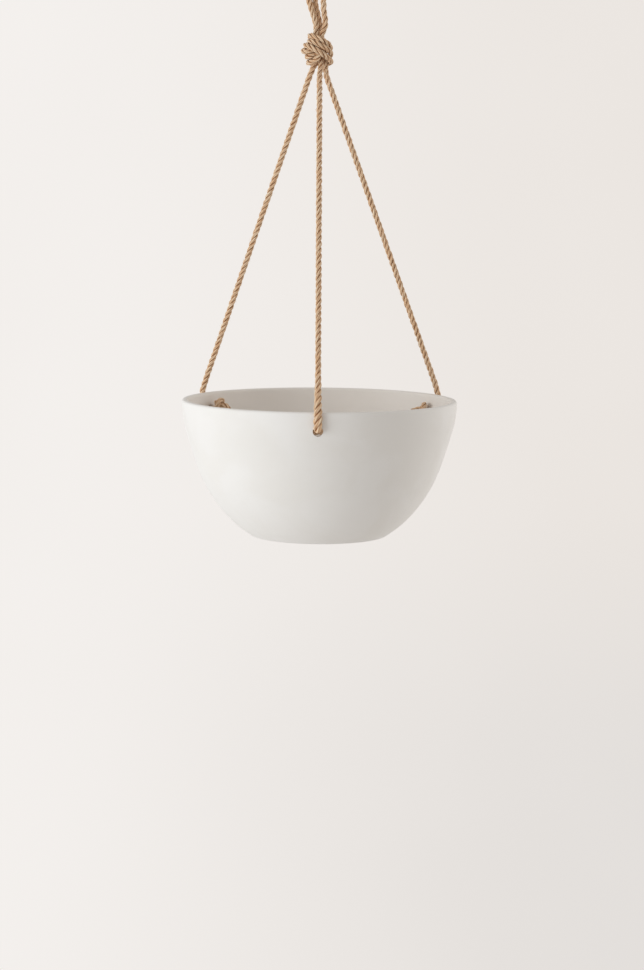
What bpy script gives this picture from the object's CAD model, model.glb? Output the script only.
"""Hanging planter: a matt bowl on three laid jute ropes, tied in one knot above it and hung on a hook.

Metres, +Z up. The origin is on the hook's shank at the ceiling's surface, and the front faces -Y.
"""

import logging
import math
from dataclasses import dataclass, field
from enum import Enum

import bpy
import numpy as np
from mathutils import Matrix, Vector


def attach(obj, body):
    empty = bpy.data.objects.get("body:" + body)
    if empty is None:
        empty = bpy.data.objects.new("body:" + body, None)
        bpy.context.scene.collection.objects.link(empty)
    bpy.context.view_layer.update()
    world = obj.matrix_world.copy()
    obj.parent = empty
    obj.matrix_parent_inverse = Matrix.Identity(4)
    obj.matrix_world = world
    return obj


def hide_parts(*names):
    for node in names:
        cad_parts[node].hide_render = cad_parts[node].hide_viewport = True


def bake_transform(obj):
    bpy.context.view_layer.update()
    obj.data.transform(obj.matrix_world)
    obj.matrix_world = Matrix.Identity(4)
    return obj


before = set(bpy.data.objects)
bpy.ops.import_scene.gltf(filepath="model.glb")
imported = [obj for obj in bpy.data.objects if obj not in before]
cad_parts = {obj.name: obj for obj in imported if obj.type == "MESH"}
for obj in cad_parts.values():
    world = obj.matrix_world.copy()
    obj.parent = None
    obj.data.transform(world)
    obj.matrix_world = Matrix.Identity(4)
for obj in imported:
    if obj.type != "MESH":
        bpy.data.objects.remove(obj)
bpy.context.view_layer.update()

logging.basicConfig(level=logging.INFO, format="%(message)s")
log = logging.getLogger("planter")

MM = 0.001
TURN = 2 * math.pi
UP = Vector((0, 0, 1))

# Places that the ropes share with the solids
HOOK_RADIUS = 27.5 * MM
HOOK_NECK_RADIUS = 8.0 * MM
HOOK_NECK_LENGTH = 10.0 * MM
NECK_TURN = math.acos(HOOK_NECK_RADIUS / (HOOK_RADIUS + HOOK_NECK_RADIUS))
ARM_Z = -HOOK_NECK_LENGTH - (HOOK_RADIUS + HOOK_NECK_RADIUS) * math.sin(NECK_TURN) - HOOK_RADIUS
TOP_KNOT_CENTRE = Vector((-1.5 * MM, 0, ARM_Z + 25 * MM))
KNOT_SOLID_Z = ARM_Z - 98 * MM
RIM_Z = KNOT_SOLID_Z - 390 * MM
RIM_RADIUS = 152.5 * MM
BASE_RADIUS = 76.0 * MM
WALL = 7.5 * MM
HOLE_Z = RIM_Z - 20 * MM
HOLE_RADIUS = 5.5 * MM
WALL_TILT_AT_HOLE = math.radians(11.0)
WALL_REACH_AT_HOLE = 0.975

# How the photographed gathering knot differs from its solid: lower, to the left, and leaning
KNOT_SETTLES = 8.5 * MM
GATHERING_KNOT_CENTRE = Vector((-5.2 * MM, 0, KNOT_SOLID_Z - KNOT_SETTLES))
KNOT_LEAN = 0.30
LEAN_ENDS = 21.0
LEAN_FADES = 8.0

# How a rope lies between its knots, over the rim and in its hole
SAMPLE_STEP = 0.8 * MM
ROPE_RADIUS = 3.15 * MM
BELOW_ARM = 5 * MM
ABOVE_KNOT = 6 * MM
BELOW_KNOT = 7 * MM
BEFORE_RIM = 38 * MM
AROUND_HOLE = 6 * MM
OVER_RIM = 1 * MM
OFF_WALL = 0.3 * MM
INTO_HOLE = 0.5 * MM
HOLE_SLACK = 0.8 * MM
STOPPER_LEAD = 1.3 * MM

# The ropes' routes through an overhand knot, about its centre, from its top down, in millimetres
KNOT_ROUTE_A = [
    (7.8, -5.5, 13.5), (6.9, -6.5, 6.0), (4.1, -7.6, -0.5), (0.0, -7.5, -7.0), (-5.5, -5.0, -12.0),
    (-11.5, -0.5, -14.0), (-14.5, 7.0, -13.5), (-8.5, 12.0, -13.5), (-0.5, 13.0, -14.0),
    (7.5, 12.5, -14.0), (11.5, 5.9, -13.0), (10.2, -1.5, -10.5), (8.0, -8.5, -8.0), (4.0, -14.5, -5.0),
    (-2.5, -14.5, -0.5), (-9.0, -12.0, 3.5), (-12.0, -5.0, 5.0), (-9.5, 1.0, 1.0), (-7.5, 4.8, -5.3),
]
KNOT_ROUTE_B = [
    (4.0, 1.0, 13.5), (4.0, -1.0, 6.0), (0.9, -2.4, -1.0), (-5.5, -2.5, -5.5), (-12.5, -0.5, -8.0),
    (-14.0, 7.5, -7.0), (-7.2, 11.9, -7.5), (0.5, 12.0, -8.0), (8.0, 11.3, -7.5), (12.5, 5.0, -6.5),
    (13.5, -2.5, -4.0), (11.6, -9.1, -0.5), (7.1, -13.6, 3.0), (0.0, -13.0, 6.5), (-6.5, -9.0, 9.0),
    (-5.4, -1.3, 6.8), (-3.0, 4.0, 0.5), (-1.0, 3.0, -6.5),
]
KNOT_ROUTE_C = [
    (1.7, -4.9, 15.0), (1.1, -5.9, 7.2), (-3.3, -7.0, 1.2), (-10.5, -6.0, -2.5), (-16.0, -1.0, -2.0),
    (-14.5, 7.0, -0.5), (-7.5, 10.0, 0.0), (0.0, 11.5, -0.5), (7.5, 11.5, -0.5), (13.0, 5.5, 0.0),
    (15.0, -1.5, 2.5), (13.5, -8.5, 5.5), (9.0, -13.0, 9.5), (1.5, -12.5, 12.5), (-5.2, -8.2, 15.3),
    (-3.9, -0.4, 12.7), (-0.5, 4.6, 7.7), (3.5, 5.5, 1.0), (4.3, 5.3, -6.0),
]
STOPPER_HALF = [
    (-5.5, -1.5, 9.5), (-5.5, -1.5, 4.5), (-7.2, -3.2, 0.8), (-10.8, -2.9, -2.4), (-12.5, 1.6, -5.0),
    (-10.6, 5.8, -6.0), (-6.6, 8.2, -5.5), (-2.2, 7.3, -3.9), (0.3, 4.3, -1.8),
]

# The ropes' radius: a place, millimetres further down the rope, and the radius there in millimetres.
# The rope frays at its cut ends, is tightest in the stoppers and is full between the knots.
RADIUS_KEYS = [
    ("start", 0, 3.5), ("start", 4, 3.1), ("start", 10, 2.95), ("arm", -12, 2.95), ("arm", 0, 3.05),
    ("arm", 10, 3.25), ("knot_top", -8, 3.2), ("knot_top", 8, 3.05), ("knot_end", -10, 3.05),
    ("knot_end", 12, 3.25), ("hole", 0, 3.2), ("leg_end", 0, 2.95), ("leg_end", 5, 2.85), ("end", -8, 2.85),
    ("end", 0, 3.5),
]
SPREAD_BEGINS = 0.35
SPREAD_IN_HOLE = 1.12

Point = tuple[float, float, float]
Route = list[Point]
Colour = tuple[float, float, float, float]
Edges = tuple[float, float]
Tree, Node, Socket = bpy.types.NodeTree, bpy.types.Node, bpy.types.NodeSocket
Material, Mesh, Object = bpy.types.Material, bpy.types.Mesh, bpy.types.Object


class Body(Enum):
    """The rigid bodies that the new pieces ride on."""

    HOOK = "ceiling_hook"
    TOP_KNOT = "top_knot"
    EYE = "eye"
    PLANTER = "planter"


def placed(centre: Vector, route: Route) -> list[Vector]:
    """A route about a centre, as points of the whole planter.

    Args:
        centre: the knot's or the arm's centre, in metres.
        route: points about it, in millimetres.

    Returns:
        The points in metres.
    """
    return [centre + Vector(point) * MM for point in route]


def leaning(point: Point) -> Point:
    """A point of the gathering knot, which leans to the left at its top and to the right at its foot.

    Args:
        point: the upright knot's point, in millimetres.

    Returns:
        The leaning knot's point, in millimetres.
    """
    x, y, z = point
    held = min(1.0, max(0.0, (LEAN_ENDS - abs(z)) / LEAN_FADES))
    return x - KNOT_LEAN * z * held, y, z


def turned(origin: Vector, z_axis: Vector, spin: float, route: Route) -> list[Vector]:
    """A route in a frame with its Z along an axis and its X turned about that by a spin from upright.

    Args:
        origin: where the frame stands, in metres.
        z_axis: the frame's Z, of length one.
        spin: the turn about it, in degrees.
        route: points in that frame, in millimetres.

    Returns:
        The points in metres.
    """
    upright = (UP - z_axis * z_axis.z).normalized()
    aside = z_axis.cross(upright)
    cosine, sine = math.cos(math.radians(spin)), math.sin(math.radians(spin))
    x_axis = upright * cosine + aside * sine
    y_axis = aside * cosine - upright * sine
    return [origin + (x_axis * x + y_axis * y + z_axis * z) * MM for x, y, z in route]


# Materials


def feed(tree: Tree, value: object, place: Socket) -> None:
    """Feeds an input from a socket, or sets it to a plain value.

    Args:
        tree: the node tree.
        value: a socket, a number, a vector or a colour.
        place: the input.
    """
    if isinstance(value, Socket):
        tree.links.new(value, place)
    else:
        place.default_value = value


def fed(tree: Tree, node: Node, **inputs: object) -> Node:
    """Feeds a node's named inputs.

    Args:
        tree: the node tree.
        node: the node.
        **inputs: a socket or a plain value for each input, with _ for a space.

    Returns:
        The node.
    """
    for name, value in inputs.items():
        feed(tree, value, node.inputs[name.replace("_", " ")])
    return node


def added(tree: Tree, kind: str, **inputs: object) -> Node:
    """Adds a shader node and feeds its named inputs.

    Args:
        tree: the node tree.
        kind: the node's type, without ShaderNode at its front.
        **inputs: a socket or a plain value for each input, with _ for a space.

    Returns:
        The node.
    """
    return fed(tree, tree.nodes.new(f"ShaderNode{kind}"), **inputs)


def coordinates(tree: Tree, kind: str) -> Socket:
    """Coordinates of a kind: Object, Normal or Generated."""
    return tree.nodes.new("ShaderNodeTexCoord").outputs[kind]


def math_node(tree: Tree, operation: str, *values: object) -> Socket:
    """A maths node on sockets or numbers.

    Args:
        tree: the node tree.
        operation: the maths node's operation.
        *values: its inputs in order.

    Returns:
        The result's socket.
    """
    node = tree.nodes.new("ShaderNodeMath")
    node.operation = operation
    for value, place in zip(values, node.inputs):
        feed(tree, value, place)
    return node.outputs[0]


def vector_node(tree: Tree, operation: str, first: object, second: object) -> Node:
    """A maths node on two vectors.

    Args:
        tree: the node tree.
        operation: the vector maths node's operation.
        first: a socket or a vector.
        second: a socket or a vector.

    Returns:
        The node, whose result is its Vector or its Value.
    """
    node = tree.nodes.new("ShaderNodeVectorMath")
    node.operation = operation
    feed(tree, first, node.inputs[0])
    feed(tree, second, node.inputs[1])
    return node


def mix_colour(tree: Tree, share: object, first: object, second: object) -> Socket:
    """Mixes two colours by a share.

    Args:
        tree: the node tree.
        share: a socket or a number from 0 to 1.
        first: the colour at 0.
        second: the colour at 1.

    Returns:
        The mixed colour's socket.
    """
    node = tree.nodes.new("ShaderNodeMix")
    node.data_type = "RGBA"
    node.clamp_factor = True
    for place, value in ((node.inputs[0], share), (node.inputs[6], first), (node.inputs[7], second)):
        feed(tree, value, place)
    return node.outputs[2]


def mixed_shader(tree: Tree, share: object, first: Node, second: Node, output: str) -> None:
    """Mixes two shaders by a share and shows the result.

    Args:
        tree: the node tree.
        share: a socket or a number from 0 to 1.
        first: the shader at 0.
        second: the shader at 1.
        output: the name of the tree's output node.
    """
    mix = tree.nodes.new("ShaderNodeMixShader")
    for place, value in zip(mix.inputs, (share, first.outputs[0], second.outputs[0])):
        feed(tree, value, place)
    feed(tree, mix.outputs[0], tree.nodes[output].inputs["Surface"])


def noise(tree: Tree, vector: Socket, scale: float, detail: float = 3.0, roughness: float = 0.55) -> Socket:
    """A noise texture's value over a vector.

    Args:
        tree: the node tree.
        vector: where it is read.
        scale: features per unit.
        detail: its octaves.
        roughness: how strong the fine octaves are.

    Returns:
        The value's socket.
    """
    node = added(tree, "TexNoise", Vector=vector, Scale=scale, Detail=detail, Roughness=roughness)
    return node.outputs["Fac"]


def ramp(tree: Tree, value: Socket, edges: Edges) -> Socket:
    """A value stretched smoothly to 0..1 between two edges, and clamped.

    Args:
        tree: the node tree.
        value: the value's socket.
        edges: the values that become 0 and 1.

    Returns:
        The result's socket.
    """
    node = added(tree, "MapRange", From_Min=edges[0], From_Max=edges[1], Value=value)
    node.interpolation_type = "SMOOTHSTEP"
    return node.outputs["Result"]


class EffectGroups:
    """The node groups that more than one finish uses."""

    PATCH_EDGES = (0.36, 0.66)
    SPECK_EDGES = (0.22, 0.05)
    COARSE_SCALE = 0.12
    COARSE_HEIGHT = 0.8

    def __init__(self) -> None:
        """Builds each group once."""
        self.mottle = self._mottle()
        self.grit = self._grit()

    def _group(self, name: str, scales: tuple[str, ...], results: tuple[str, ...]) -> tuple[Tree, Node, Node]:
        """Makes an empty group that reads a vector.

        Args:
            name: the group's name.
            scales: its inputs besides the vector.
            results: its outputs.

        Returns:
            The group, its input node and its output node.
        """
        group = bpy.data.node_groups.new(name, "ShaderNodeTree")
        group.interface.new_socket(name="Vector", in_out="INPUT", socket_type="NodeSocketVector")
        for titles, way in ((scales, "INPUT"), (results, "OUTPUT")):
            for title in titles:
                group.interface.new_socket(name=title, in_out=way, socket_type="NodeSocketFloat")
        return group, group.nodes.new("NodeGroupInput"), group.nodes.new("NodeGroupOutput")

    def _mottle(self) -> Tree:
        """Large soft patches and fine specks, as two masks from 0 to 1.

        Returns:
            The group.
        """
        group, start, end = self._group("mottle", ("Patch Scale", "Speck Scale"), ("Patches", "Specks"))
        where, patch_scale, speck_scale = start.outputs[:3]
        patches = added(group, "TexNoise", Vector=where, Scale=patch_scale, Detail=4.0, Distortion=0.6)
        specks = added(group, "TexVoronoi", Vector=where, Scale=speck_scale)
        fed(group, end, Patches=ramp(group, patches.outputs["Fac"], self.PATCH_EDGES),
            Specks=ramp(group, specks.outputs["Distance"], self.SPECK_EDGES))
        return group

    def _grit(self) -> Tree:
        """A fine uneven height for cast, moulded and plated surfaces.

        Returns:
            The group.
        """
        group, start, end = self._group("grit", ("Scale",), ("Height",))
        where, scale = start.outputs[:2]
        fine = added(group, "TexNoise", Vector=where, Scale=scale, Detail=5.0, Roughness=0.65)
        coarse_scale = math_node(group, "MULTIPLY", scale, self.COARSE_SCALE)
        coarse = added(group, "TexNoise", Vector=where, Scale=coarse_scale, Detail=2.0)
        heights = coarse.outputs["Fac"], self.COARSE_HEIGHT, fine.outputs["Fac"]
        fed(group, end, Height=math_node(group, "MULTIPLY_ADD", *heights))
        return group


@dataclass(frozen=True)
class Finish:
    """A named surface finish. Scales are features per metre, and the relief's depth is in metres."""

    name: str
    roughness: float
    relief: float
    relief_depth: float

    def start(self) -> tuple[Material, Tree, Node]:
        """Makes the material with its constants on the shader's own sockets.

        Returns:
            The material, its node tree and its Principled BSDF.
        """
        material = bpy.data.materials.new(self.name)
        material.use_nodes = True
        tree = material.node_tree
        return material, tree, fed(tree, tree.nodes["Principled BSDF"], Roughness=self.roughness)

    def bump(self, tree: Tree, shader: Node, height: Socket) -> None:
        """Feeds a height into the shader's normal.

        Args:
            tree: the material's node tree.
            shader: its Principled BSDF.
            height: the height's socket, from 0 to 1.
        """
        node = added(tree, "Bump", Strength=self.relief, Distance=self.relief_depth, Height=height)
        fed(tree, shader, Normal=node.outputs["Normal"])


@dataclass(frozen=True)
class MottledFinish(Finish):
    """A finish with soft patches of another colour and roughness over a fine grit."""

    patch_scale: float
    speck_scale: float
    grit_scale: float
    patch_roughness: float

    def mottle(self, tree: Tree, effects: EffectGroups) -> Node:
        """Places the patches and specks in a material.

        Args:
            tree: the material's node tree.
            effects: the shared groups.

        Returns:
            The group's node.
        """
        return self._effect(tree, effects.mottle, Patch_Scale=self.patch_scale, Speck_Scale=self.speck_scale)

    def roughen(self, tree: Tree, shader: Node, effects: EffectGroups, patches: Socket) -> None:
        """Feeds the shader's roughness from the patches, and its normal from the grit.

        Args:
            tree: the material's node tree.
            shader: its Principled BSDF.
            effects: the shared groups.
            patches: where the surface is rougher, from 0 to 1.
        """
        rough = math_node(tree, "MULTIPLY_ADD", patches, self.patch_roughness, self.roughness)
        fed(tree, shader, Roughness=rough)
        self.bump(tree, shader, self._effect(tree, effects.grit, Scale=self.grit_scale).outputs["Height"])

    def _effect(self, tree: Tree, group: Tree, **values: float) -> Node:
        """Places an effect's group in a material, on the object's own coordinates.

        Args:
            tree: the material's node tree.
            group: the effect.
            **values: its other inputs, with _ for a space.

        Returns:
            The group's node.
        """
        node = tree.nodes.new("ShaderNodeGroup")
        node.node_tree = group
        return fed(tree, node, Vector=coordinates(tree, "Object"), **values)


@dataclass(frozen=True)
class MattBowlFinish(MottledFinish):
    """A matt mineral body, dipped off-white, with soft mottling and a fine tooth."""

    name: str = "matt_bowl"
    roughness: float = 0.68
    relief: float = 0.35
    relief_depth: float = 0.00025
    patch_scale: float = 14.0
    speck_scale: float = 420.0
    grit_scale: float = 1400.0
    patch_roughness: float = 0.10
    specular: float = 0.35
    pale: Colour = (0.86, 0.85, 0.84, 1)
    warm: Colour = (0.835, 0.82, 0.80, 1)
    inside: Colour = (0.84, 0.795, 0.75, 1)
    inside_edges: Edges = (0.01, -0.05)
    inside_share: float = 0.7
    speck: Colour = (0.62, 0.58, 0.53, 1)
    speck_share: float = 0.35
    speck_breaks: float = 160.0
    speck_break_edges: Edges = (0.52, 0.75)

    def build(self, effects: EffectGroups) -> Material:
        """Builds the material. Its inside is where the surface faces the bowl's own axis.

        Args:
            effects: the shared groups.

        Returns:
            The material.
        """
        material, tree, shader = self.start()
        place = coordinates(tree, "Object")
        patches, specks = self.mottle(tree, effects).outputs[:2]
        colour = mix_colour(tree, patches, self.pale, self.warm)
        broken = ramp(tree, noise(tree, place, self.speck_breaks, detail=4.0), self.speck_break_edges)
        faint = math_node(tree, "MULTIPLY", math_node(tree, "MULTIPLY", specks, broken), self.speck_share)
        colour = mix_colour(tree, faint, colour, self.speck)
        outwards = vector_node(tree, "MULTIPLY", place, (1.0, 1.0, 0.0)).outputs["Vector"]
        facing = vector_node(tree, "DOT_PRODUCT", coordinates(tree, "Normal"), outwards).outputs["Value"]
        turned_in = math_node(tree, "MULTIPLY", ramp(tree, facing, self.inside_edges), self.inside_share)
        colour = mix_colour(tree, turned_in, colour, self.inside)
        fed(tree, shader, Base_Color=colour, Specular_IOR_Level=self.specular)
        self.roughen(tree, shader, effects, patches)
        return material


@dataclass(frozen=True)
class JuteFinish(Finish):
    """Jute fibre: pale and brown fibres along the strands, darker and browner in the grooves."""

    name: str = "jute"
    roughness: float = 0.88
    relief: float = 0.9
    relief_depth: float = 0.0006
    specular: float = 0.25
    sheen: float = 0.05
    sheen_roughness: float = 0.5
    straw: Colour = (1.0, 0.85, 0.64, 1)
    tan: Colour = (0.90, 0.60, 0.36, 1)
    umber: Colour = (0.33, 0.125, 0.035, 1)
    streak_squeeze: Point = (1.0, 1.0, 0.055)
    yarn_scale: float = 1500.0
    thread_scale: float = 4200.0
    thread_height: float = 0.55
    tone_scale: float = 120.0
    tone_share: float = 0.45
    straw_edges: Edges = (0.82, 1.16)
    dark_edges: Edges = (0.50, 0.34)
    dark_share: float = 0.5

    def build(self) -> Material:
        """Builds the material on the strands' own fibre coordinates.

        Returns:
            The material.
        """
        material, tree, shader = self.start()
        fibre, groove = (tree.nodes.new("ShaderNodeAttribute") for _ in range(2))
        fibre.attribute_name, groove.attribute_name = "fibre", "groove"
        place = fibre.outputs["Vector"]
        streaks = vector_node(tree, "MULTIPLY", place, self.streak_squeeze).outputs["Vector"]
        yarns = noise(tree, streaks, self.yarn_scale, roughness=0.6)
        threads = noise(tree, streaks, self.thread_scale, roughness=0.7)
        tone = noise(tree, place, self.tone_scale)
        height = math_node(tree, "MULTIPLY_ADD", threads, self.thread_height, yarns)
        shade = math_node(tree, "MULTIPLY_ADD", tone, self.tone_share, height)
        colour = mix_colour(tree, ramp(tree, shade, self.straw_edges), self.tan, self.straw)
        dark = math_node(tree, "MULTIPLY", ramp(tree, threads, self.dark_edges), self.dark_share)
        colour = mix_colour(tree, dark, colour, self.umber)
        colour = mix_colour(tree, groove.outputs["Fac"], colour, self.umber)
        fed(tree, shader, Base_Color=colour, Specular_IOR_Level=self.specular, Sheen_Weight=self.sheen,
            Sheen_Roughness=self.sheen_roughness)
        self.bump(tree, shader, height)
        return material


@dataclass(frozen=True)
class ZincFinish(MottledFinish):
    """Zinc-plated steel wire, dulled, and rubbed brighter under the rope."""

    name: str = "zinc_plated_steel"
    roughness: float = 0.28
    relief: float = 0.2
    relief_depth: float = 0.00012
    patch_scale: float = 160.0
    speck_scale: float = 1600.0
    grit_scale: float = 2600.0
    patch_roughness: float = 0.22
    zinc: Colour = (0.60, 0.60, 0.585, 1)
    dull: Colour = (0.40, 0.40, 0.39, 1)
    dull_share: float = 0.8
    rubbed_place: Point = (0, 0, ARM_Z + 2.5 * MM)
    rubbed_edges: Edges = (0.013, 0.006)

    def build(self, effects: EffectGroups) -> Material:
        """Builds the material, bright where the rope hangs.

        Args:
            effects: the shared groups.

        Returns:
            The material.
        """
        material, tree, shader = self.start()
        patches = self.mottle(tree, effects).outputs["Patches"]
        reach = vector_node(tree, "DISTANCE", coordinates(tree, "Object"), self.rubbed_place).outputs["Value"]
        kept = math_node(tree, "SUBTRACT", 1.0, ramp(tree, reach, self.rubbed_edges))
        dulling = math_node(tree, "MULTIPLY", patches, math_node(tree, "MULTIPLY", kept, self.dull_share))
        fed(tree, shader, Base_Color=mix_colour(tree, dulling, self.zinc, self.dull), Metallic=1.0)
        self.roughen(tree, shader, effects, dulling)
        return material


@dataclass(frozen=True)
class RubberFinish(MottledFinish):
    """Moulded black rubber with a bloom of grey dust."""

    name: str = "black_rubber"
    roughness: float = 0.62
    relief: float = 0.4
    relief_depth: float = 0.00015
    patch_scale: float = 260.0
    speck_scale: float = 2400.0
    grit_scale: float = 2200.0
    patch_roughness: float = 0.15
    black: Colour = (0.022, 0.021, 0.020, 1)
    bloom: Colour = (0.085, 0.080, 0.074, 1)
    bloom_share: float = 0.5

    def build(self, effects: EffectGroups) -> Material:
        """Builds the material, dusty in patches.

        Args:
            effects: the shared groups.

        Returns:
            The material.
        """
        material, tree, shader = self.start()
        patches = self.mottle(tree, effects).outputs["Patches"]
        dusty = math_node(tree, "MULTIPLY", patches, self.bloom_share)
        fed(tree, shader, Base_Color=mix_colour(tree, dusty, self.black, self.bloom))
        self.roughen(tree, shader, effects, patches)
        return material


# Ropes


@dataclass
class RopeLine:
    """A rope's centre line as even samples, with a frame that doesn't twist along it."""

    SMOOTHINGS = 3
    FIRST_NORMAL_FROM = (0.3, 1.0, 0.1)

    points: np.ndarray
    along: np.ndarray
    tangents: np.ndarray
    normals: np.ndarray
    binormals: np.ndarray

    @classmethod
    def through(cls, route: list[Vector], step: float) -> "RopeLine":
        """Samples the smooth line of a rope's control points.

        Args:
            route: the control points, in metres.
            step: the distance between samples.

        Returns:
            The sampled line.
        """
        fine = cls._smooth(route)
        runs = np.linalg.norm(np.diff(fine, axis=0), axis=1)
        fine = fine[np.concatenate([[True], runs > 1e-9])]
        reach = np.concatenate([[0], np.cumsum(np.linalg.norm(np.diff(fine, axis=0), axis=1))])
        along = np.linspace(0, reach[-1], int(reach[-1] / step) + 1)
        points = np.stack([np.interp(along, reach, fine[:, axis]) for axis in range(3)], axis=1)
        for _ in range(cls.SMOOTHINGS):
            points[1:-1] = (points[:-2] + 2 * points[1:-1] + points[2:]) / 4
        tangents = np.gradient(points, axis=0)
        tangents /= np.linalg.norm(tangents, axis=1)[:, None]
        normals = np.zeros_like(points)
        normal = np.cross(tangents[0], cls.FIRST_NORMAL_FROM)
        for i, tangent in enumerate(tangents):
            normal = normal - tangent * (normal @ tangent)
            normal /= np.linalg.norm(normal)
            normals[i] = normal
        return cls(points, along, tangents, normals, np.cross(tangents, normals))

    @staticmethod
    def _smooth(route: list[Vector]) -> np.ndarray:
        """Turns control points into the fine points of a curve with soft bends.

        Args:
            route: the control points, in metres.

        Returns:
            The curve's points, closely but unevenly spaced.
        """
        curve = bpy.data.curves.new("rope_route", "CURVE")
        curve.dimensions = "3D"
        curve.resolution_u = 24
        spline = curve.splines.new("NURBS")
        spline.points.add(len(route) - 1)
        for place, point in zip(spline.points, route):
            place.co = (*point, 1)
        spline.order_u = 3
        spline.use_endpoint_u = True
        holder = bpy.data.objects.new("rope_route", curve)
        bpy.context.collection.objects.link(holder)
        bpy.context.view_layer.update()
        evaluated = holder.evaluated_get(bpy.context.evaluated_depsgraph_get())
        mesh = bpy.data.meshes.new_from_object(evaluated)
        fine = np.array([vertex.co for vertex in mesh.vertices], float)
        bpy.data.meshes.remove(mesh)
        bpy.data.objects.remove(holder)
        bpy.data.curves.remove(curve)
        return fine

    def nearest(self, point: Vector) -> int:
        """The number of the sample nearest to a point."""
        return int(np.argmin(np.linalg.norm(self.points - np.array(point), axis=1)))

    def part(self, chosen: np.ndarray) -> "RopeLine":
        """The line's chosen samples alone."""
        return RopeLine(self.points[chosen], self.along[chosen], self.tangents[chosen], self.normals[chosen],
                        self.binormals[chosen])


@dataclass
class Stretch:
    """One stretch of a rope: its piece, the CAD node that it stands for and the samples that it covers."""

    name: str
    node: str
    first: int
    last: int
    open_start: bool = False
    open_end: bool = False


@dataclass
class Surface:
    """Part of a piece's mesh, with each vertex's fibre coordinates and depth in the grooves."""

    verts: np.ndarray
    faces: list[list[int]]
    fibre: np.ndarray
    groove: np.ndarray

    def with_more(self, other: "Surface") -> "Surface":
        """This surface and another, whose faces already count on from this one's vertices."""
        return Surface(np.concatenate([self.verts, other.verts]), self.faces + other.faces,
                       np.concatenate([self.fibre, other.fibre]), np.concatenate([self.groove, other.groove]))

    def to_object(self, name: str) -> Object:
        """Makes a smooth object of the surface.

        Args:
            name: the object's name.

        Returns:
            The object, with its place in its mesh.
        """
        mesh = bpy.data.meshes.new(name)
        mesh.from_pydata(self.verts.tolist(), [], self.faces)
        attribute = mesh.attributes.new("fibre", "FLOAT_VECTOR", "POINT")
        attribute.data.foreach_set("vector", self.fibre.astype(np.float32).ravel())
        attribute = mesh.attributes.new("groove", "FLOAT", "POINT")
        attribute.data.foreach_set("value", self.groove.astype(np.float32))
        mesh.polygons.foreach_set("use_smooth", np.ones(len(mesh.polygons), bool))
        mesh.validate()
        mesh.update()
        obj = bpy.data.objects.new(name, mesh)
        bpy.context.collection.objects.link(obj)
        return obj


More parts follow.
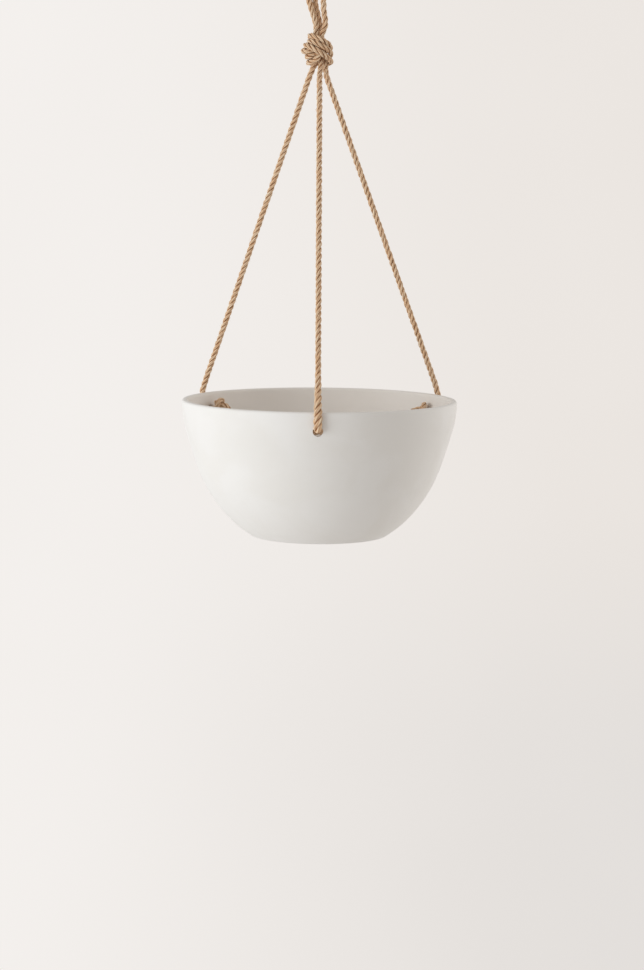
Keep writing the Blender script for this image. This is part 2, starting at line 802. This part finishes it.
@dataclass(frozen=True)
class LaidRope:
    """A three-strand right-hand laid jute rope. Lengths are in metres, and the yarns' twist is per metre.

    The waves make its lay and thickness a little uneven. The shifts part the strands' and the ropes' fibre
    coordinates, so that no two look alike. Pairs are the least and the most of a random draw.
    """

    diameter: float = 6.3 * MM
    lay: float = 21.5 * MM
    strands: int = 3
    strand_share: float = 0.487
    yarns: int = 4
    sides_per_yarn: int = 5
    yarn_twist: float = 309.0
    yarn_ridge: float = 0.10
    wave_lengths: tuple[float, ...] = (0.0173, 0.0291, 0.0467, 0.0113)
    wave_turn: float = 0.22
    wave_swell: float = 0.10
    strand_phase: float = 1.7
    rope_phase: float = 0.37
    fibre_radius: float = 1.6 * MM
    strand_shift: float = 0.02
    strand_shift_along: float = 0.011
    rope_shift: float = 0.013
    groove_edge: float = 0.58
    groove_slope: float = 1.5
    groove_depth: float = 0.95
    yarn_groove_depth: float = 0.27
    hairs_per_metre: float = 1100.0
    hair_margin: int = 7
    hair_radius: float = 0.045 * MM
    hair_lengths: Edges = (1.5 * MM, 5.5 * MM)
    hair_rise: Edges = (0.12, 0.75)
    hair_root: float = 0.93
    hair_curl: float = 0.9
    hair_swerve: float = 0.6
    hair_taper: float = 0.7
    hair_stand: float = 2.0 * MM
    hair_drift: float = 1.5 * MM
    hair_tint: Edges = (0.004, 0.003)
    brush_hairs: int = 260
    brush_lengths: Edges = (0.8 * MM, 3.2 * MM)
    brush_rise: Edges = (0.0, 0.35)
    brush_reach: float = 0.95
    fuzz_limit: float = 5.8 * MM

    def piece(self, line: RopeLine, stretch: Stretch, radius: np.ndarray, spread: np.ndarray,
              aside: np.ndarray, seed: int) -> Object:
        """Builds the strands and loose fibres of one stretch.

        Args:
            line: the whole rope's centre line.
            stretch: the samples that this piece covers.
            radius: the rope's radius at each sample.
            spread: how much wider the rope is along `aside` at each sample.
            aside: the direction in which the rope spreads.
            seed: a number that fixes the uneven lay and the loose fibres.

        Returns:
            The new object, with its place in its mesh.
        """
        chosen = np.arange(stretch.first, stretch.last + 1)
        part, size = line.part(chosen), radius[chosen]
        strands = self._strands(part, size, seed)
        surface = strands.with_more(self._hairs(part, size, stretch, seed, len(strands.verts)))
        owner = self._owner(surface.verts, part.points, len(strands.verts))
        reach = surface.verts - part.points[owner]
        reach = reach + ((spread[chosen] - 1)[owner] * (reach @ aside))[:, None] * aside
        distance = np.linalg.norm(reach, axis=1)
        held = np.minimum(1, self.fuzz_limit / np.maximum(distance, 1e-9))
        surface.verts = part.points[owner] + reach * held[:, None]
        return surface.to_object(stretch.name)

    def _strands(self, part: RopeLine, size: np.ndarray, seed: int) -> Surface:
        """The strands of one stretch, each a ridged tube with closed ends.

        Args:
            part: the stretch's centre line.
            size: the rope's radius at each sample.
            seed: a number that fixes the uneven lay.

        Returns:
            The strands' surface.
        """
        verts, fibres, grooves, faces, caps = [], [], [], [], []
        sides, count = self.yarns * self.sides_per_yarn, len(part.along)
        for strand in range(self.strands):
            phase = self.strand_phase * strand + seed * self.rope_phase
            waves = sum(np.sin(TURN * part.along / length + phase + number)
                        for number, length in enumerate(self.wave_lengths)) / len(self.wave_lengths)
            turn = TURN * (part.along / self.lay + strand / self.strands) + self.wave_turn * waves
            out = part.normals * np.cos(turn)[:, None] + part.binormals * np.sin(turn)[:, None]
            strand_radius = size * self.strand_share * (1 + self.wave_swell * waves)
            hub = part.points + out * (size - strand_radius)[:, None]
            way = np.gradient(hub, axis=0)
            way /= np.linalg.norm(way, axis=1)[:, None]
            up = out - way * np.sum(out * way, axis=1)[:, None]
            up /= np.linalg.norm(up, axis=1)[:, None]
            left = np.cross(way, up)
            for side in range(sides):
                own = TURN * side / sides
                angle = own - self.yarn_twist * part.along
                ridge = math.cos(self.yarns * own)
                ring = up * np.cos(angle)[:, None] + left * np.sin(angle)[:, None]
                verts.append(hub + ring * (strand_radius * (1 + self.yarn_ridge * ridge))[:, None])
                fibres.append(np.stack([
                    np.full(count, math.cos(own) * self.fibre_radius + strand * self.strand_shift),
                    np.full(count, math.sin(own) * self.fibre_radius + seed * self.rope_shift),
                    part.along + strand * self.strand_shift_along,
                ], axis=1))
                between = (self.groove_edge - np.cos(angle)) * self.groove_slope
                between = np.clip(between, 0, self.groove_depth)
                grooves.append(np.maximum(between, self.yarn_groove_depth * (1 - ridge)))
            base, steps = strand * sides * count, np.arange(count - 1)
            for side in range(sides):
                here, there = base + side * count + steps, base + (side + 1) % sides * count + steps
                faces += np.stack([here, there, there + 1, here + 1], axis=1).tolist()
            caps.append([base + side * count for side in range(sides)])
            caps.append([base + (sides - 1 - side) * count + count - 1 for side in range(sides)])
        return Surface(np.concatenate(verts), faces + caps, np.concatenate(fibres), np.concatenate(grooves))

    def _owner(self, verts: np.ndarray, centres: np.ndarray, on_strands: int) -> np.ndarray:
        """The centre-line sample that each vertex belongs to.

        Args:
            verts: the strands' vertices and then the loose fibres'.
            centres: the centre line's samples.
            on_strands: how many of the vertices are the strands'.

        Returns:
            The samples' numbers.
        """
        coarse = 4
        own = np.tile(np.arange(len(centres)), on_strands // len(centres))
        apart = np.linalg.norm(verts[on_strands:, None, :] - centres[None, ::coarse, :], axis=2)
        near = np.argmin(apart, axis=1) * coarse
        return np.concatenate([own, np.minimum(near, len(centres) - 1)])

    def _hairs(self, part: RopeLine, size: np.ndarray, stretch: Stretch, seed: int, offset: int) -> Surface:
        """Loose fibres that stand off the strands, and the brush of a cut end.

        Args:
            part: the stretch's centre line.
            size: the rope's radius at each sample.
            stretch: tells which ends are cut.
            seed: a number that fixes the fibres.
            offset: the number of the first new vertex.

        Returns:
            The fibres' surface: thin three-sided tubes of two lengths, with closed ends.
        """
        rng = np.random.default_rng(seed)
        count = int((part.along[-1] - part.along[0]) * self.hairs_per_metre)
        starts = rng.integers(self.hair_margin, len(part.points) - self.hair_margin, count)
        forward = rng.choice((-1.0, 1.0), count)
        rise = rng.uniform(*self.hair_rise, count)
        lengths = rng.uniform(*self.hair_lengths, count)
        depth = np.full(count, self.hair_root)
        brush = self.brush_hairs
        for end, sign, cut in ((0, -1.0, stretch.open_start), (len(part.points) - 1, 1.0, stretch.open_end)):
            if cut:
                starts = np.concatenate([starts, np.full(brush, end)])
                forward = np.concatenate([forward, np.full(brush, sign)])
                rise = np.concatenate([rise, rng.uniform(*self.brush_rise, brush)])
                lengths = np.concatenate([lengths, rng.uniform(*self.brush_lengths, brush)])
                depth = np.concatenate([depth, np.sqrt(rng.uniform(0.0, 1.0, brush)) * self.brush_reach])
        total = len(starts)
        angle = rng.uniform(0, TURN, total)
        curl = rng.uniform(-self.hair_curl, self.hair_curl, total)
        out = part.normals[starts] * np.cos(angle)[:, None] + part.binormals[starts] * np.sin(angle)[:, None]
        side = np.cross(part.tangents[starts], out)
        root = part.points[starts] + out * (size[starts] * depth)[:, None]
        way = part.tangents[starts] * forward[:, None]
        verts, fibre, faces = [], [], []
        for share in (0.0, 0.45, 1.0):
            bend = rise * share * (1.2 - 0.5 * share)
            stand = np.minimum(lengths * bend, self.hair_stand)
            drift = lengths * curl * share * share * self.hair_swerve
            drift = np.clip(drift, -self.hair_drift, self.hair_drift)
            spot = root + way * (lengths * share)[:, None] + out * stand[:, None] + side * drift[:, None]
            thin = self.hair_radius * (1.0 - self.hair_taper * share)
            for corner in range(3):
                turn = TURN * corner / 3
                verts.append(spot + (out * math.cos(turn) + side * math.sin(turn)) * thin)
                tint = (tone * by for tone, by in zip((angle, curl), self.hair_tint))
                fibre.append(np.stack([*tint, part.along[starts] + lengths * share], axis=1))
        rings = offset + np.arange(9).reshape(3, 3, 1) * total + np.arange(total)
        for low, high in zip(rings, rings[1:]):
            for corner in range(3):
                after = (corner + 1) % 3
                faces += np.stack([low[corner], low[after], high[after], high[corner]], axis=1).tolist()
        for ring, corners in ((rings[0], [0, 2, 1]), (rings[2], [0, 1, 2])):
            faces += ring[corners].T.tolist()
        return Surface(np.concatenate(verts), faces, np.concatenate(fibre), np.zeros(9 * total))


@dataclass
class KnottedRope:
    """One of the three ropes, from its tail above the hook's arm to its tail inside the bowl."""

    name: str
    eye_name: str
    azimuth: float
    top: Route
    eye: Route
    gathering: Route
    stopper_spin: float
    stopper_tail: Route
    hole_spread: float
    seed: int
    rope: LaidRope = field(default_factory=LaidRope)

    def outwards(self) -> Vector:
        """The level direction from the bowl's axis through this rope's hole."""
        return Vector((math.cos(math.radians(self.azimuth)), math.sin(math.radians(self.azimuth)), 0))

    def route(self) -> tuple[list[Vector], dict[str, Vector]]:
        """The whole rope's control points, and the places where one stretch ends and the next begins.

        Returns:
            The control points from top to bottom, and the named places.
        """
        top = placed(TOP_KNOT_CENTRE, self.top)
        knot = placed(GATHERING_KNOT_CENTRE, [leaning(point) for point in self.gathering])
        into_knot = (knot[1] - knot[0]).normalized()
        out_of_knot = (knot[-1] - knot[-2]).normalized()
        strand = placed(Vector((0, 0, ARM_Z)), self.eye)
        eye = [top[-1] - UP * BELOW_ARM, *strand, knot[0] - into_knot * ABOVE_KNOT]
        out = self.outwards()
        axis = out * math.cos(WALL_TILT_AT_HOLE) - UP * math.sin(WALL_TILT_AT_HOLE)
        in_hole_z = HOLE_Z + HOLE_RADIUS - ROPE_RADIUS - HOLE_SLACK
        against_wall = RIM_RADIUS + ROPE_RADIUS + OFF_WALL
        wall_outside = BASE_RADIUS + (RIM_RADIUS - BASE_RADIUS) * WALL_REACH_AT_HOLE
        over_rim = out * (against_wall + OFF_WALL) + UP * (RIM_Z + OVER_RIM)
        at_hole = out * (against_wall - INTO_HOLE) + UP * in_hole_z
        inside = out * (wall_outside - WALL / math.cos(WALL_TILT_AT_HOLE)) + UP * in_hole_z
        end = inside - axis * STOPPER_LEAD
        lead = knot[-1] + out_of_knot * BELOW_KNOT
        run = (over_rim - lead).normalized()
        leg = [
            lead, lead + run * BELOW_KNOT, over_rim - run * BEFORE_RIM, over_rim, at_hole + UP * AROUND_HOLE,
            at_hole, at_hole - out * AROUND_HOLE, inside,
        ]
        whole = [*STOPPER_HALF, (0.0, 0.0, 0.0), *((x, -y, -z) for x, y, z in reversed(STOPPER_HALF))]
        start_x, start_y, start_z = whole[0]
        stopper = turned(end, axis, self.stopper_spin,
                         [(x - start_x, y - start_y, z - start_z) for x, y, z in whole])
        tail = [(high, aside, -away) for aside, high, away in self.stopper_tail]
        stopper += turned(stopper[-1], axis, 0.0, tail)
        places = {"arm": top[-1], "knot_top": knot[0], "knot_end": knot[-1], "hole": at_hole, "leg_end": end}
        return [*top, *eye, *knot, *leg, *stopper], places

    def build(self, jute: Material) -> None:
        """Builds, dresses and declares this rope's pieces.

        Args:
            jute: the rope's material.
        """
        route, places = self.route()
        line = RopeLine.through(route, SAMPLE_STEP)
        mark = {"start": 0, "end": len(line.points) - 1}
        mark |= {name: line.nearest(place) for name, place in places.items()}
        radius = np.interp(line.along,
                           [line.along[mark[place]] + after * MM for place, after, _ in RADIUS_KEYS],
                           [size * MM for _, _, size in RADIUS_KEYS])
        # The rope is pressed flat against the bowl near its hole: millimetres past it, and the spread there
        begins, wide = 1.0 + SPREAD_BEGINS * (self.hole_spread - 1), self.hole_spread
        spread_keys = [(-60, 1.0), (-38, begins), (-10, wide), (1, wide), (8, SPREAD_IN_HOLE), (14, 1.0)]
        spread = np.interp(line.along, [line.along[mark["hole"]] + after * MM for after, _ in spread_keys],
                           [share for _, share in spread_keys])
        stretches = self._stretches(mark)
        aside = np.array(self.outwards().cross(UP))
        pieces = []
        for stretch in stretches:
            piece = self.rope.piece(line, stretch, radius, spread, aside, self.seed)
            piece.data.materials.append(jute)
            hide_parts(stretch.node)
            pieces.append(piece)
            log.info("%s: %.0f mm of rope", stretch.name, self._length(line, stretch) / MM)
        top, upper, lower, knot, leg, stopper = pieces
        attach(top, Body.TOP_KNOT.value)
        for piece in (knot, leg, stopper):
            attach(piece, Body.PLANTER.value)
        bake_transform(upper)
        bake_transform(lower)

    def _stretches(self, mark: dict[str, int]) -> list[Stretch]:
        """Parts the rope at the bodies that carry it.

        Args:
            mark: the samples at the named places.

        Returns:
            The stretches, from the top of the rope to its end.
        """
        arm, knot_top, knot_end, leg_end = (mark[name] for name in ("arm", "knot_top", "knot_end", "leg_end"))
        middle = (arm + knot_top) // 2
        eye, leg, stopper = f"eye_strand_{self.eye_name}", f"leg_{self.name}", f"stopper_knot_{self.name}"
        return [
            Stretch(f"top_knot_{self.eye_name}", "top_knot", mark["start"], arm, open_start=True),
            Stretch(f"{eye}_upper", eye, arm, middle),
            Stretch(f"{eye}_lower", eye, middle, knot_top),
            Stretch(f"gathering_knot_{self.name}", "gathering_knot", knot_top, knot_end),
            Stretch(f"{leg}_rope", leg, knot_end, leg_end),
            Stretch(f"{stopper}_rope", stopper, leg_end, mark["end"], open_end=True),
        ]

    def _length(self, line: RopeLine, stretch: Stretch) -> float:
        """A stretch's length along the rope, in metres."""
        return float(line.along[stretch.last] - line.along[stretch.first])


class Ropes:
    """The three ropes of the planter."""

    def __init__(self) -> None:
        """Sets out the routes of each rope through its knots."""
        self.ropes = [
            KnottedRope(
                name="back_left", eye_name="right", azimuth=150.0,
                top=[(-0.5, -7.5, 23.0), *KNOT_ROUTE_C, (4.2, 5.0, -13.5), (7.6, 1.5, -19.5),
                     (7.6, 1.5, -25.0)],
                eye=[(6.3, 0.8, -22.5), (2.4, -1.0, -40.5), (0.5, -3.0, -58.5)],
                gathering=[(7.0, -4.5, 21.0), *KNOT_ROUTE_A, (-5.2, 5.0, -13.0), (-5.5, 5.0, -19.5)],
                stopper_spin=215.0, stopper_tail=[(1.0, -3.0, 3.5), (2.0, -8.0, 4.0), (2.0, -13.0, 2.0)],
                hole_spread=1.2, seed=3),
            KnottedRope(
                name="front", eye_name="middle", azimuth=-90.0,
                top=[(3.0, 0.5, 21.5), *KNOT_ROUTE_B, (0.0, -0.5, -13.5), (-4.6, -3.4, -19.5),
                     (-4.6, -3.4, -25.0)],
                eye=[(-7.2, -2.2, -22.5), (-8.5, 0.5, -40.5), (-8.2, 2.6, -58.5)],
                gathering=[(2.0, 2.0, 21.0), *KNOT_ROUTE_B, (1.0, -0.5, -13.5), (3.0, -4.0, -20.0)],
                stopper_spin=200.0, stopper_tail=[(-1.0, -3.0, 5.0), (-1.5, -9.0, 8.0), (-0.5, -14.0, 8.5)],
                hole_spread=1.5, seed=5),
            KnottedRope(
                name="back_right", eye_name="left", azimuth=30.0,
                top=[(9.0, -9.0, 21.5), *KNOT_ROUTE_A, (-5.5, 5.0, -13.0), (-4.6, 3.4, -19.0),
                     (-4.6, 3.4, -25.0)],
                eye=[(-10.8, 3.0, -17.0), (-15.8, 1.0, -30.0), (-17.0, -1.0, -44.5), (-13.4, -3.0, -59.0)],
                gathering=[(-1.5, -4.0, 21.5), *KNOT_ROUTE_C, (5.2, 5.0, -13.5), (8.5, 6.0, -20.0)],
                stopper_spin=65.0, stopper_tail=[(2.5, -1.5, 4.0), (7.0, -4.5, 5.0), (10.5, -8.5, 4.5)],
                hole_spread=1.2, seed=8),
        ]

    def build(self, jute: Material) -> None:
        """Builds all three ropes of the same material."""
        for rope in self.ropes:
            rope.build(jute)


# The rest of the planter


@dataclass(frozen=True)
class SolidPiece:
    """A piece with its CAD node's own shape, which is only dressed here."""

    node: str

    def build(self, material: Material) -> None:
        """Dresses the piece all over.

        Args:
            material: its only material.
        """
        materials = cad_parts[self.node].data.materials
        materials.clear()
        materials.append(material)
        log.info("%s: %s", self.node, material.name)


@dataclass(frozen=True)
class ShankThread:
    """The thread that is rolled onto the ceiling hook's shank, as a ridge that winds round it."""

    shank_radius: float = 2.3 * MM
    crest_radius: float = 2.62 * MM
    sunk: float = 0.2 * MM
    end_sunk: float = 0.15 * MM
    foot_width: float = 1.1 * MM
    crest_width: float = 0.16 * MM
    pitch: float = 2.0 * MM
    thread_start: float = 2.5 * MM
    turns: int = 11
    steps: int = 24
    fading_turns: float = 1.5
    crease: float = 35.0

    def build(self, zinc: Material) -> None:
        """Turns the ridge round the shank, with its ends run out to nothing, and dresses it.

        Args:
            zinc: the hook's material.
        """
        bpy.ops.object.select_all(action="DESELECT")
        bpy.ops.mesh.primitive_circle_add(vertices=4, radius=self.sunk, fill_type="NOTHING")
        ridge = bpy.context.object
        ridge.name = "shank_thread"
        root, start = self.shank_radius - self.sunk, self.thread_start
        section = [(root, -self.foot_width), (self.crest_radius, -self.crest_width),
                   (self.crest_radius, self.crest_width), (root, self.foot_width)]
        for vertex, (reach, width) in zip(ridge.data.vertices, section):
            vertex.co = (reach, 0, start + width / 2)
        modifier = ridge.modifiers.new("thread", "SCREW")
        modifier.axis = "Z"
        modifier.screw_offset = self.pitch
        modifier.iterations = self.turns
        modifier.steps = modifier.render_steps = self.steps
        modifier.use_merge_vertices = False
        bpy.ops.object.modifier_apply(modifier=modifier.name)
        self._fade(ridge.data)
        bpy.ops.object.mode_set(mode="EDIT")
        bpy.ops.mesh.select_all(action="SELECT")
        bpy.ops.mesh.fill_holes(sides=4)
        bpy.ops.mesh.select_all(action="SELECT")
        bpy.ops.mesh.normals_make_consistent(inside=False)
        bpy.ops.object.mode_set(mode="OBJECT")
        bpy.ops.object.shade_smooth_by_angle(angle=math.radians(self.crease))
        ridge.data.materials.append(zinc)
        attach(ridge, Body.HOOK.value)
        log.info("shank thread: %d turns", self.turns)

    def _fade(self, mesh: Mesh) -> None:
        """Sinks the ridge's first and last turns under the shank's skin.

        Args:
            mesh: the ridge's mesh.
        """
        low, fading = self.thread_start, self.fading_turns * self.pitch
        high = low + self.pitch * self.turns
        sunk = self.shank_radius - self.end_sunk
        for vertex in mesh.vertices:
            radial = math.hypot(vertex.co.x, vertex.co.y)
            from_end = min(vertex.co.z - low, high - vertex.co.z)
            wanted = sunk + (radial - sunk) * min(1.0, max(0.0, from_end / fading))
            vertex.co.x *= wanted / radial
            vertex.co.y *= wanted / radial


@dataclass(frozen=True)
class Lamp:
    """A square soft lamp that faces the planter: its side in metres and its power in watts."""

    name: str
    place: Point
    size: float
    power: float
    colour: Point
    target: Point = (0, 0, -0.5)

    def build(self) -> None:
        """Hangs the lamp."""
        data = bpy.data.lights.new(self.name, "AREA")
        data.shape = "SQUARE"
        data.size, data.energy, data.color = self.size, self.power, self.colour
        obj = bpy.data.objects.new(self.name, data)
        obj.location = self.place
        obj.rotation_euler = (Vector(self.target) - Vector(self.place)).to_track_quat("-Z", "Y").to_euler()
        bpy.context.collection.objects.link(obj)


@dataclass(frozen=True)
class Studio:
    """A pale room: its camera, its floor far below the planter, and soft light from the left."""

    camera_place: Point = (0.022, -2.5, -0.3282)
    camera_pitch: float = 7.47
    camera_roll: float = -0.45
    camera_turn: float = 0.48
    lens: float = 83.94
    floor_z: float = -1.95
    floor_radius: float = 1.9
    floor_fades: Edges = (0.6, 1.85)
    floor_colour: Colour = (0.83, 0.805, 0.78, 1)
    floor_roughness: float = 0.9
    light_colour: Colour = (1.0, 0.955, 0.90, 1)
    light_strength: float = 0.54
    wall_left: Colour = (0.905, 0.875, 0.85, 1)
    wall_right: Colour = (0.815, 0.77, 0.73, 1)
    wall_low: Colour = (0.765, 0.735, 0.71, 1)
    wall_cloud: Colour = (0.865, 0.83, 0.80, 1)
    across_edges: Edges = (-0.16, 0.18)
    low_edges: Edges = (-0.12, -0.26)
    cloud_scale: float = 5.5
    cloud_edges: Edges = (0.35, 0.7)
    cloud_share: float = 0.3

    def camera(self) -> None:
        """Places the camera where the photograph was taken from."""
        data = bpy.data.cameras.new("camera")
        data.lens = self.lens
        data.sensor_fit = "AUTO"
        data.sensor_width = 36
        obj = bpy.data.objects.new("camera", data)
        obj.location = self.camera_place
        turns = (90 - self.camera_pitch, self.camera_roll, self.camera_turn)
        obj.rotation_euler = [math.radians(turn) for turn in turns]
        bpy.context.collection.objects.link(obj)
        bpy.context.scene.camera = obj

    def floor(self) -> None:
        """Lays the floor, which fades into the background at its edge."""
        bpy.ops.object.select_all(action="DESELECT")
        middle = (0, 0, self.floor_z)
        bpy.ops.mesh.primitive_circle_add(vertices=128, radius=self.floor_radius, fill_type="NGON",
                                          location=middle)
        obj = bpy.context.object
        obj.name = "floor"
        bpy.ops.object.transform_apply(location=True)
        material = bpy.data.materials.new("floor")
        material.use_nodes = True
        tree = material.node_tree
        shader = fed(tree, tree.nodes["Principled BSDF"], Base_Color=self.floor_colour,
                     Roughness=self.floor_roughness)
        reach = vector_node(tree, "DISTANCE", coordinates(tree, "Object"), middle).outputs["Value"]
        clear = added(tree, "BsdfTransparent")
        mixed_shader(tree, ramp(tree, reach, self.floor_fades), shader, clear, "Material Output")
        obj.data.materials.append(material)

    def world(self) -> None:
        """Fills the room with even light, and shows the pale wall's colour behind the planter."""
        world = bpy.data.worlds.new("room")
        bpy.context.scene.world = world
        world.use_nodes = True
        tree = world.node_tree
        light = fed(tree, tree.nodes["Background"], Color=self.light_colour, Strength=self.light_strength)
        shown = added(tree, "Background", Color=self.wall_colour(tree))
        rays = tree.nodes.new("ShaderNodeLightPath").outputs
        seen = math_node(tree, "MAXIMUM", rays["Is Camera Ray"], rays["Is Glossy Ray"])
        seen = math_node(tree, "MAXIMUM", seen, rays["Is Transmission Ray"])
        mixed_shader(tree, seen, light, shown, "World Output")

    def wall_colour(self, tree: Tree) -> Socket:
        """The wall's colour by direction: brightest at the upper left, a little cloudy, greyer low down.

        Args:
            tree: the world's node tree.

        Returns:
            The colour's socket.
        """
        way = coordinates(tree, "Generated")
        split = added(tree, "SeparateXYZ", Vector=way).outputs
        across = ramp(tree, split["X"], self.across_edges)
        colour = mix_colour(tree, across, self.wall_left, self.wall_right)
        low = math_node(tree, "MULTIPLY", ramp(tree, split["Z"], self.low_edges), across)
        colour = mix_colour(tree, low, colour, self.wall_low)
        clouds = ramp(tree, noise(tree, way, self.cloud_scale, detail=2.0), self.cloud_edges)
        clouds = math_node(tree, "MULTIPLY", clouds, self.cloud_share)
        return mix_colour(tree, clouds, colour, self.wall_cloud)

    def build(self) -> None:
        """Sets up the room."""
        self.camera()
        self.floor()
        self.world()
        Lamp("window", (-2.4, -1.35, -0.45), 2.0, 46.0, (0.94, 0.98, 1.0)).build()
        Lamp("fill", (2.3, 1.1, -0.35), 1.6, 22.0, (1.0, 0.97, 0.94)).build()
        bpy.context.scene.view_settings.view_transform = "Standard"


def main() -> None:
    """Builds the room and the planter's pieces in order."""
    Studio().build()
    effects = EffectGroups()
    zinc = ZincFinish().build(effects)
    Ropes().build(JuteFinish().build())
    SolidPiece("ceiling_hook").build(zinc)
    ShankThread().build(zinc)
    SolidPiece("bowl").build(MattBowlFinish().build(effects))
    SolidPiece("drain_plug").build(RubberFinish().build(effects))


if __name__ == "__main__":
    main()
